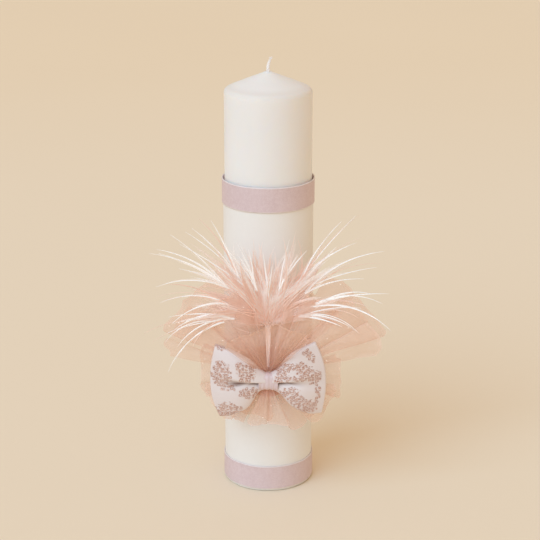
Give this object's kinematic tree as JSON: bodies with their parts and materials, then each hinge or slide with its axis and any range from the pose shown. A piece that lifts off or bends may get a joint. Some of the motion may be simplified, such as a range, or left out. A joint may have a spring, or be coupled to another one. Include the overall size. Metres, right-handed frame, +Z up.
{
  "type": "unity candle",
  "caption": "Free-standing pillar candle in a cloth-covered wrap with satin ribbons, decorated with a tulle, feather and padded bow rosette.",
  "frame": {"origin": "centre of the candle's flat base, on the surface that it stands on", "axes": "+Z up along the candle, -Y the way that the rosette faces, +X to the viewer's right"},
  "size_m": [0.1971, 0.1305, 0.3557],
  "materials": {
    "wax": "matte wax with a soft translucent sheen",
    "wick_cotton": "braided cotton",
    "tin": "plain tin plate",
    "wrap_cloth": "fine white woven cloth on card",
    "ribbon_satin": "dusty pink satin",
    "tape": "clear double-sided tape",
    "hot_melt": "set hot-melt glue",
    "felt": "pressed wool felt",
    "tulle": "soft blush net with small glitter",
    "thread": "polyester thread",
    "feather": "ostrich plume, white and blush",
    "brocade": "pale satin brocade with rose-gold motifs",
    "wadding": "polyester wadding",
    "knot_satin": "dusty pink satin"
  },
  "bodies": {
    "root": {"base_ribbon": "ribbon_satin", "base_ribbon_tape": "tape", "body_wrap": "wrap_cloth", "bow_cover_left": "brocade", "bow_cover_right": "brocade", "bow_glue_pad": "hot_melt", "bow_knot": "knot_satin", "bow_wadding_left": "wadding", "bow_wadding_right": "wadding", "bow_waist_binding": "thread", "candle_body": "wax", "feather_1": "feather", "feather_10": "feather", "feather_11": "feather", "feather_12": "feather", "feather_2": "feather", "feather_3": "feather", "feather_4": "feather", "feather_5": "feather", "feather_6": "feather", "feather_7": "feather", "feather_8": "feather", "feather_9": "feather", "feather_quills": "feather", "gather_thread": "thread", "rosette_felt": "felt", "rosette_glue_pad": "hot_melt", "tulle_back_petal_1": "tulle", "tulle_back_petal_2": "tulle", "tulle_back_petal_3": "tulle", "tulle_back_petal_4": "tulle", "tulle_back_petal_5": "tulle", "tulle_back_petal_6": "tulle", "tulle_back_petal_7": "tulle", "tulle_back_petal_8": "tulle", "tulle_front_petal_1": "tulle", "tulle_front_petal_2": "tulle", "tulle_front_petal_3": "tulle", "tulle_gather": "tulle", "tulle_mid_petal_1": "tulle", "tulle_mid_petal_2": "tulle", "tulle_mid_petal_3": "tulle", "tulle_mid_petal_4": "tulle", "tulle_mid_petal_5": "tulle", "tulle_mid_petal_6": "tulle", "upper_ribbon": "ribbon_satin", "upper_ribbon_tape": "tape", "wick": "wick_cotton", "wick_sustainer": "tin"}
  },
  "joints": []
}
